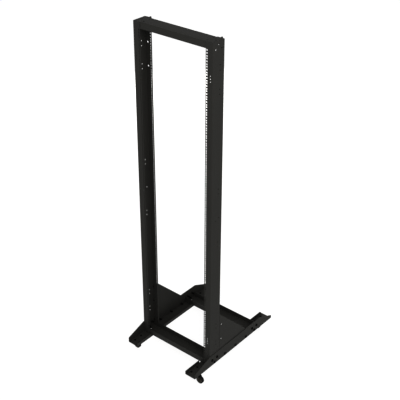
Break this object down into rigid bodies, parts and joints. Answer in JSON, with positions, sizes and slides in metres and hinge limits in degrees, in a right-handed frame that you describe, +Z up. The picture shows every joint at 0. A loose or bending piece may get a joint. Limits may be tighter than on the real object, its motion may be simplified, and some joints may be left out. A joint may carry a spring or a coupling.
{
  "type": "two post open frame rack",
  "caption": "Black two post open frame equipment rack of folded sheet steel, with gusseted feet on swivel casters.",
  "frame": {"origin": "on the floor, midway between the feet across the rack and midway along their length", "axes": "+Z up, +X to the right as seen from the front, front towards -Y"},
  "size_m": [0.574, 0.781, 2.158],
  "materials": {
    "powder_coat": "fine textured satin powder coat",
    "caster_steel": "bright zinc plate",
    "wheel_plastic": "moulded satin",
    "tyre_rubber": "matte"
  },
  "bodies": {
    "rack_frame": {"right_post": "powder_coat", "left_post": "powder_coat", "right_foot": "powder_coat", "left_foot": "powder_coat", "right_gusset": "powder_coat", "left_gusset": "powder_coat", "right_cable_hook": "powder_coat", "left_cable_hook": "powder_coat", "top_cross_member": "powder_coat", "front_base_cross_member": "powder_coat", "rear_base_cross_member": "powder_coat", "front_right_caster_plate": "caster_steel", "front_right_caster_race": "caster_steel", "front_left_caster_plate": "caster_steel", "front_left_caster_race": "caster_steel", "rear_right_caster_plate": "caster_steel", "rear_right_caster_race": "caster_steel", "rear_left_caster_plate": "caster_steel", "rear_left_caster_race": "caster_steel"},
    "front_right_swivel": {"front_right_caster_fork": "caster_steel", "front_right_caster_axle": "caster_steel"},
    "front_right_wheel": {"front_right_wheel_core": "wheel_plastic", "front_right_wheel_tyre": "tyre_rubber"},
    "front_left_swivel": {"front_left_caster_fork": "caster_steel", "front_left_caster_axle": "caster_steel"},
    "front_left_wheel": {"front_left_wheel_core": "wheel_plastic", "front_left_wheel_tyre": "tyre_rubber"},
    "rear_right_swivel": {"rear_right_caster_fork": "caster_steel", "rear_right_caster_axle": "caster_steel"},
    "rear_right_wheel": {"rear_right_wheel_core": "wheel_plastic", "rear_right_wheel_tyre": "tyre_rubber"},
    "rear_left_swivel": {"rear_left_caster_fork": "caster_steel", "rear_left_caster_axle": "caster_steel"},
    "rear_left_wheel": {"rear_left_wheel_core": "wheel_plastic", "rear_left_wheel_tyre": "tyre_rubber"}
  },
  "joints": [
    {"name": "front_right_swivel_joint", "type": "hinge", "parent": "rack_frame", "child": "front_right_swivel", "pos_m": [0.236, -0.3265, 0.0615], "axis": [0, 0, 1], "continuous": true},
    {"name": "front_right_wheel_joint", "type": "hinge", "parent": "front_right_swivel", "child": "front_right_wheel", "pos_m": [0.262, -0.3265, 0.025], "axis": [0, 1, 0], "continuous": true},
    {"name": "front_left_swivel_joint", "type": "hinge", "parent": "rack_frame", "child": "front_left_swivel", "pos_m": [-0.236, -0.3265, 0.0615], "axis": [0, 0, 1], "continuous": true},
    {"name": "front_left_wheel_joint", "type": "hinge", "parent": "front_left_swivel", "child": "front_left_wheel", "pos_m": [-0.262, -0.3265, 0.025], "axis": [0, 1, 0], "continuous": true},
    {"name": "rear_right_swivel_joint", "type": "hinge", "parent": "rack_frame", "child": "rear_right_swivel", "pos_m": [0.236, 0.3265, 0.0615], "axis": [0, 0, 1], "continuous": true},
    {"name": "rear_right_wheel_joint", "type": "hinge", "parent": "rear_right_swivel", "child": "rear_right_wheel", "pos_m": [0.21, 0.3265, 0.025], "axis": [0, 1, 0], "continuous": true},
    {"name": "rear_left_swivel_joint", "type": "hinge", "parent": "rack_frame", "child": "rear_left_swivel", "pos_m": [-0.236, 0.3265, 0.0615], "axis": [0, 0, 1], "continuous": true},
    {"name": "rear_left_wheel_joint", "type": "hinge", "parent": "rear_left_swivel", "child": "rear_left_wheel", "pos_m": [-0.21, 0.3265, 0.025], "axis": [0, 1, 0], "continuous": true}
  ]
}
